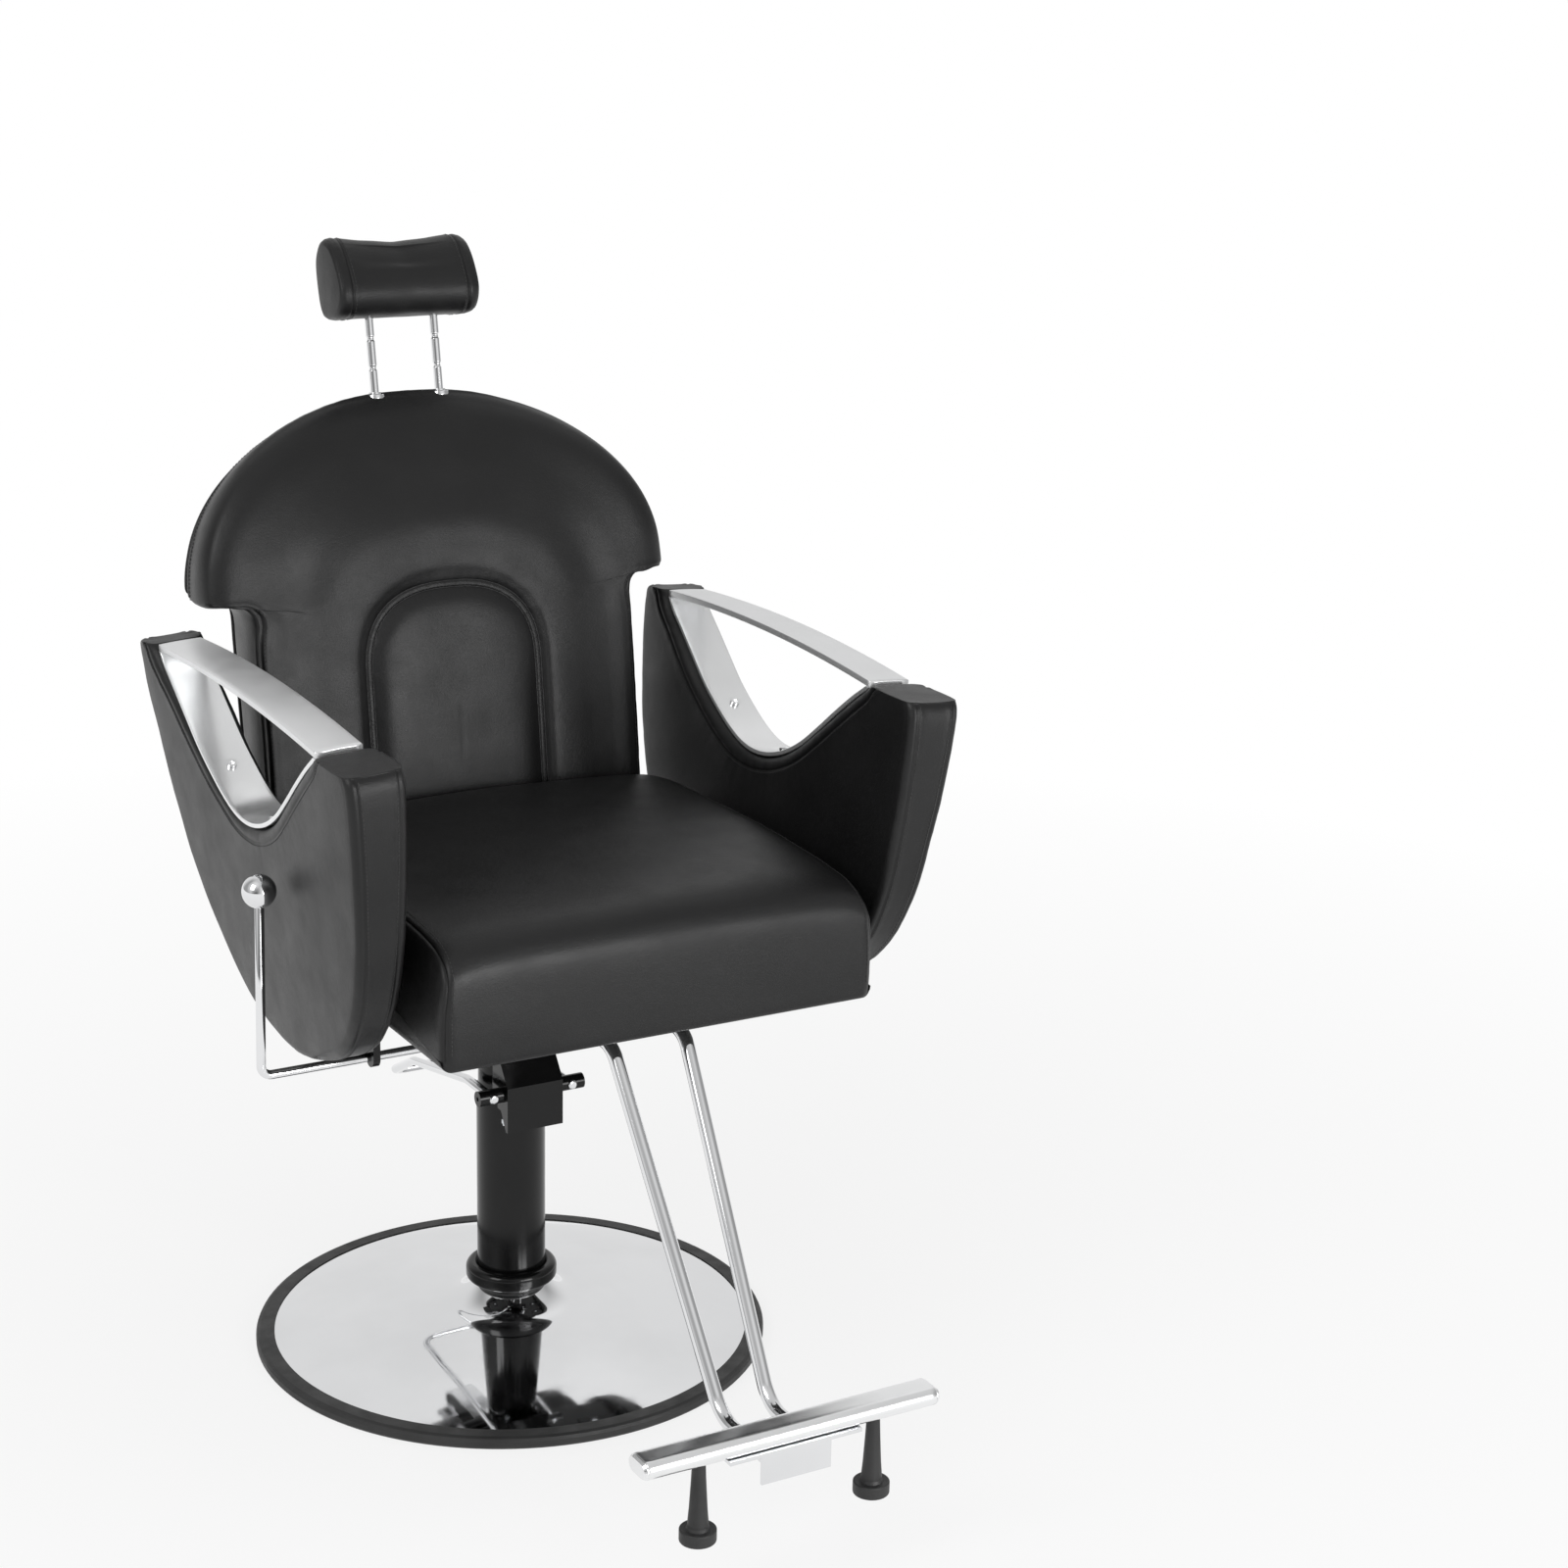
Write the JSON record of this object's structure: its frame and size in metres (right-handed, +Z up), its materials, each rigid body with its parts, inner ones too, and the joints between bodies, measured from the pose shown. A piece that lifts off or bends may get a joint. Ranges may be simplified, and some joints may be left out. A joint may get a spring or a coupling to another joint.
{
  "type": "hydraulic barber chair",
  "caption": "Barber chair on a round base with a foot pump, swivelling seat, padded U-shaped arms, footrest, reclining back with a rounded dome and a sliding headrest.",
  "frame": {"origin": "centre of the underside of the base, on the axis of the pump column", "axes": "+Z up, -Y is the way the sitter faces, +X is the sitter's left; the recline lever is on the -X side"},
  "size_m": [0.7346, 1.004, 1.2555],
  "materials": {
    "mirror_chrome": "polished",
    "bright_bar": "satin",
    "black_paint": "gloss",
    "black_rubber": "matte",
    "black_leatherette": "satin",
    "cover_leatherette": "satin",
    "plywood": "matte",
    "plain_steel": "satin",
    "zinc_screws": "satin",
    "chrome_screws": "polished",
    "spring_steel": "satin",
    "seal_rubber": "matte",
    "black_plastic": "satin"
  },
  "bodies": {
    "base": {"base_disc": "mirror_chrome", "base_rim": "black_rubber", "base_plate": "plain_steel", "base_bolts": "zinc_screws", "base_collar": "black_paint", "pump_tube": "black_paint", "pump_head": "black_paint", "head_hood": "black_paint", "ram_cylinder": "plain_steel", "gland_seal": "seal_rubber", "plunger_barrel": "plain_steel", "release_valve": "zinc_screws"},
    "pedal": {"pedal_shaft": "black_paint", "foot_pedal": "mirror_chrome"},
    "plunger": {"pump_plunger": "plain_steel", "plunger_spring": "spring_steel"},
    "lift": {"ram_rod": "mirror_chrome", "piston_head": "plain_steel", "piston_seal": "seal_rubber"},
    "seat": {"seat_bracket": "black_paint", "bracket_bolts": "zinc_screws", "seat_board": "plywood", "seat_cushion": "black_leatherette", "hinge_cheeks": "plain_steel", "hinge_pin": "plain_steel", "arm_brackets": "black_paint", "arm_pad_left": "black_leatherette", "arm_pad_right": "black_leatherette", "arm_bar_left": "mirror_chrome", "arm_bar_right": "mirror_chrome", "arm_strap_left": "mirror_chrome", "arm_strap_right": "mirror_chrome", "arm_bolts": "chrome_screws", "footrest_frame": "mirror_chrome", "foot_bar": "bright_bar", "foot_bar_caps": "bright_bar", "foot_bracket": "mirror_chrome", "foot_pads": "black_rubber", "lever_bearings": "black_paint", "strut_mount": "black_paint"},
    "lever": {"recline_lever": "mirror_chrome", "lever_ball": "mirror_chrome", "lever_cam": "plain_steel"},
    "strut_body": {"strut_cylinder": "black_paint"},
    "strut_slider": {"strut_rod": "plain_steel", "strut_head": "black_plastic", "strut_clevis": "plain_steel", "clevis_pin": "plain_steel"},
    "back": {"back_strap": "mirror_chrome", "hinge_barrel": "black_paint", "back_board": "plywood", "back_cushion": "black_leatherette", "back_cover": "cover_leatherette", "post_guides": "black_plastic", "guide_collars": "mirror_chrome", "strap_bolts": "zinc_screws", "back_bumpers": "black_rubber"},
    "headrest": {"headrest_posts": "mirror_chrome", "headrest_board": "plywood", "headrest_cushion": "black_leatherette"}
  },
  "joints": [
    {"name": "pedal_swing", "type": "hinge", "parent": "base", "child": "pedal", "pos_m": [0, -0.052, 0.322], "axis": [-1, 0, 0], "range_deg": [0, 20], "stiffness_Nm_per_rad": 3, "springref_deg": -45.84},
    {"name": "plunger_stroke", "type": "slide", "parent": "base", "child": "plunger", "axis": [0, 0, -1], "range_m": [0, 0.016], "deforming": ["plunger_spring"]},
    {"name": "lift", "type": "slide", "parent": "base", "child": "lift", "axis": [0, 0, 1], "range_m": [-0.07, 0.08]},
    {"name": "seat_swivel", "type": "hinge", "parent": "lift", "child": "seat", "pos_m": [0, -0.018, 0.45], "axis": [0, 0, 1], "continuous": true},
    {"name": "lever_pull", "type": "hinge", "parent": "seat", "child": "lever", "pos_m": [0, -0.158, 0.441], "axis": [-1, 0, 0], "range_deg": [0, 15], "stiffness_Nm_per_rad": 2, "springref_deg": -34.38},
    {"name": "recline", "type": "hinge", "parent": "seat", "child": "back", "pos_m": [0, 0.1005, 0.479], "axis": [-1, 0, 0], "range_deg": [0, 28]},
    {"name": "strut_tilt", "type": "hinge", "parent": "seat", "child": "strut_body", "pos_m": [-0.072, -0.128, 0.446], "axis": [-1, 0, 0], "range_deg": [0, 3.9]},
    {"name": "strut_stroke", "type": "slide", "parent": "strut_body", "child": "strut_slider", "axis": [0, -0.9983, 0.059], "range_m": [0, 0.027]},
    {"name": "headrest_slide", "type": "slide", "parent": "back", "child": "headrest", "axis": [0, 0.1736, 0.9848], "range_m": [-0.081, 0.034]}
  ],
  "couplings": [
    {"joint": "plunger_stroke", "follows": "pedal_swing", "m_per_rad": 0.0455},
    {"joint": "strut_tilt", "follows": "recline", "ratio": 0.134},
    {"joint": "strut_stroke", "follows": "recline", "m_per_rad": 0.0531}
  ]
}
